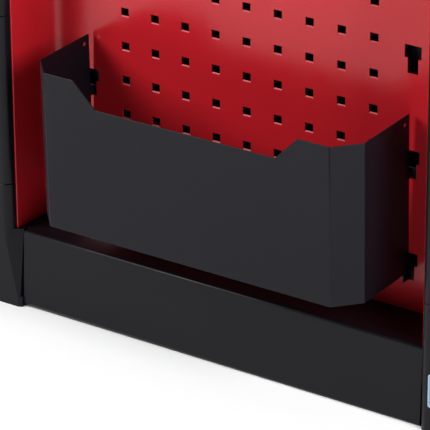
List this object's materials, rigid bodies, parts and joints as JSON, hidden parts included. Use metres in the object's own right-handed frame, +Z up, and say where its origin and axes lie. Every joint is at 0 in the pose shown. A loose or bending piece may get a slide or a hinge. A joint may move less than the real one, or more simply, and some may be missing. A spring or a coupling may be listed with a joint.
{
  "type": "workbench with drawers",
  "caption": "Workbench with a wooden worktop over a drawer cabinet, with recessed perforated side panels and a sheet-metal bin hung on one of them.",
  "frame": {"origin": "on the floor, under the middle of the worktop", "axes": "+X to the right across the drawer fronts, -Y is the front with the drawers, +Z up"},
  "size_m": [1.1, 0.74, 0.9],
  "materials": {
    "red_panel": "gloss signal-red stove enamel",
    "black_frame": "satin black powder coat",
    "bin_paint": "satin black powder coat, fine texture",
    "front_red": "gloss signal-red stove enamel",
    "grip_metal": "brushed, anodised",
    "tray_grey": "light grey powder coat",
    "zinc": "zinc plated",
    "worktop_wood": "oiled solid beech, glued staves",
    "lock_chrome": "polished",
    "plate_blue": "blank film plate"
  },
  "bodies": {
    "cabinet": {"worktop": "worktop_wood", "worktop_screws": "zinc", "top_pan": "black_frame", "base_pan": "black_frame", "plinth_right": "black_frame", "plinth_left": "black_frame", "plinth_rear": "black_frame", "plinth_front": "black_frame", "header_right": "black_frame", "header_left": "black_frame", "header_rear": "black_frame", "header_front": "black_frame", "guard_rear_right": "black_frame", "guard_rear_left": "black_frame", "guard_front_right": "black_frame", "guard_front_left": "black_frame", "corner_posts": "black_frame", "side_panel_right": "red_panel", "side_panel_left": "red_panel", "inner_side_right": "black_frame", "inner_side_left": "black_frame", "back_panel": "red_panel", "slide_channels_right": "zinc", "slide_channels_left": "zinc", "blank_plate": "plate_blue", "lock_housing": "lock_chrome"},
    "lock": {"lock_barrel": "lock_chrome", "lock_cam": "zinc"},
    "bin": {"bin_wrap": "bin_paint", "bin_floor": "bin_paint", "bin_hooks": "bin_paint"},
    "drawer_1": {"drawer_1_tray": "tray_grey", "drawer_1_front": "front_red", "drawer_1_handle": "grip_metal", "drawer_1_inner_rails": "zinc"},
    "slide_1": {"drawer_1_middle_rails": "zinc"},
    "drawer_2": {"drawer_2_tray": "tray_grey", "drawer_2_front": "front_red", "drawer_2_handle": "grip_metal", "drawer_2_inner_rails": "zinc"},
    "slide_2": {"drawer_2_middle_rails": "zinc"},
    "drawer_3": {"drawer_3_tray": "tray_grey", "drawer_3_front": "front_red", "drawer_3_handle": "grip_metal", "drawer_3_inner_rails": "zinc"},
    "slide_3": {"drawer_3_middle_rails": "zinc"},
    "drawer_4": {"drawer_4_tray": "tray_grey", "drawer_4_front": "front_red", "drawer_4_handle": "grip_metal", "drawer_4_inner_rails": "zinc"},
    "slide_4": {"drawer_4_middle_rails": "zinc"},
    "drawer_5": {"drawer_5_tray": "tray_grey", "drawer_5_front": "front_red", "drawer_5_handle": "grip_metal", "drawer_5_inner_rails": "zinc"},
    "slide_5": {"drawer_5_middle_rails": "zinc"}
  },
  "joints": [
    {"name": "lock_turn", "type": "hinge", "parent": "cabinet", "child": "lock", "pos_m": [0.33, -0.3, 0.83], "axis": [0, 1, 0], "range_deg": [0, 90]},
    {"name": "bin_lift", "type": "slide", "parent": "cabinet", "child": "bin", "axis": [0, 0, 1], "range_m": [0, 0.0163]},
    {"name": "drawer_1_slide", "type": "slide", "parent": "cabinet", "child": "drawer_1", "axis": [0, -1, 0], "range_m": [0, 0.45]},
    {"name": "rails_1_slide", "type": "slide", "parent": "cabinet", "child": "slide_1", "axis": [0, -1, 0], "range_m": [0, 0.225]},
    {"name": "drawer_2_slide", "type": "slide", "parent": "cabinet", "child": "drawer_2", "axis": [0, -1, 0], "range_m": [0, 0.45]},
    {"name": "rails_2_slide", "type": "slide", "parent": "cabinet", "child": "slide_2", "axis": [0, -1, 0], "range_m": [0, 0.225]},
    {"name": "drawer_3_slide", "type": "slide", "parent": "cabinet", "child": "drawer_3", "axis": [0, -1, 0], "range_m": [0, 0.45]},
    {"name": "rails_3_slide", "type": "slide", "parent": "cabinet", "child": "slide_3", "axis": [0, -1, 0], "range_m": [0, 0.225]},
    {"name": "drawer_4_slide", "type": "slide", "parent": "cabinet", "child": "drawer_4", "axis": [0, -1, 0], "range_m": [0, 0.45]},
    {"name": "rails_4_slide", "type": "slide", "parent": "cabinet", "child": "slide_4", "axis": [0, -1, 0], "range_m": [0, 0.225]},
    {"name": "drawer_5_slide", "type": "slide", "parent": "cabinet", "child": "drawer_5", "axis": [0, -1, 0], "range_m": [0, 0.45]},
    {"name": "rails_5_slide", "type": "slide", "parent": "cabinet", "child": "slide_5", "axis": [0, -1, 0], "range_m": [0, 0.225]}
  ],
  "couplings": [
    {"joint": "rails_1_slide", "follows": "drawer_1_slide", "ratio": 0.5},
    {"joint": "rails_2_slide", "follows": "drawer_2_slide", "ratio": 0.5},
    {"joint": "rails_3_slide", "follows": "drawer_3_slide", "ratio": 0.5},
    {"joint": "rails_4_slide", "follows": "drawer_4_slide", "ratio": 0.5},
    {"joint": "rails_5_slide", "follows": "drawer_5_slide", "ratio": 0.5}
  ]
}
